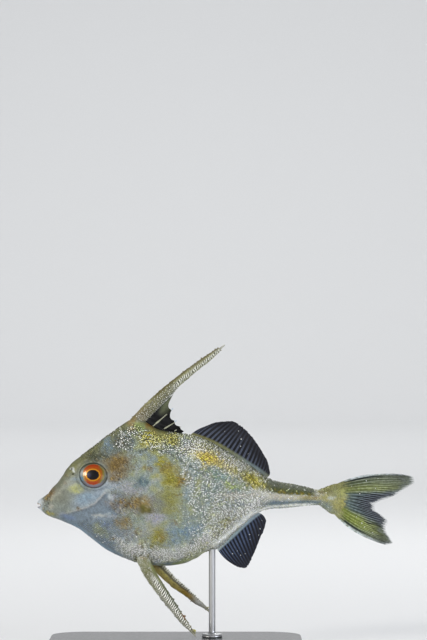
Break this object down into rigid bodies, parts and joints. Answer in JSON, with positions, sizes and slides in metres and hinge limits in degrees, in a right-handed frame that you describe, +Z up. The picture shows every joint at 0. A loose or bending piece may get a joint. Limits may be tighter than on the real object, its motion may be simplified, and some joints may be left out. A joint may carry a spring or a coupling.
{
  "type": "long-tail tripodfish",
  "caption": "Life-size long-tail tripodfish with a raised dorsal spine, splayed pelvic spines and a forked tail, held over a flat base by a slim rod.",
  "frame": {"origin": "centre of the bounding box's underside, on the surface that the base stands on", "axes": "-X towards the snout and +X towards the tail, -Y to the fish's own left, +Z up"},
  "size_m": [0.1256, 0.046, 0.1018],
  "materials": {
    "skin": "scaled skin, silvery over olive and brown, satin clear varnish",
    "spine": "rough bony spine, cream over olive",
    "fin_membrane": "clear bluish fin membrane with pale rays",
    "tail_membrane": "yellow-green fin membrane with pale rays",
    "eye": "clear polished, red and gold iris round a black pupil",
    "stand_board": "satin black lacquer",
    "stand_steel": "brushed"
  },
  "bodies": {
    "root": {"head": "skin", "trunk": "skin", "tail_stalk": "skin", "eye_left": "eye", "eye_right": "eye", "dorsal_spine": "spine", "pelvic_spine_left": "spine", "pelvic_spine_right": "spine", "spiny_dorsal_fin": "fin_membrane", "soft_dorsal_fin": "fin_membrane", "anal_fin": "fin_membrane", "pectoral_fin_left": "fin_membrane", "pectoral_fin_right": "fin_membrane", "tail_fin": "tail_membrane", "stand_base": "stand_board", "stand_rod": "stand_steel"}
  },
  "joints": []
}
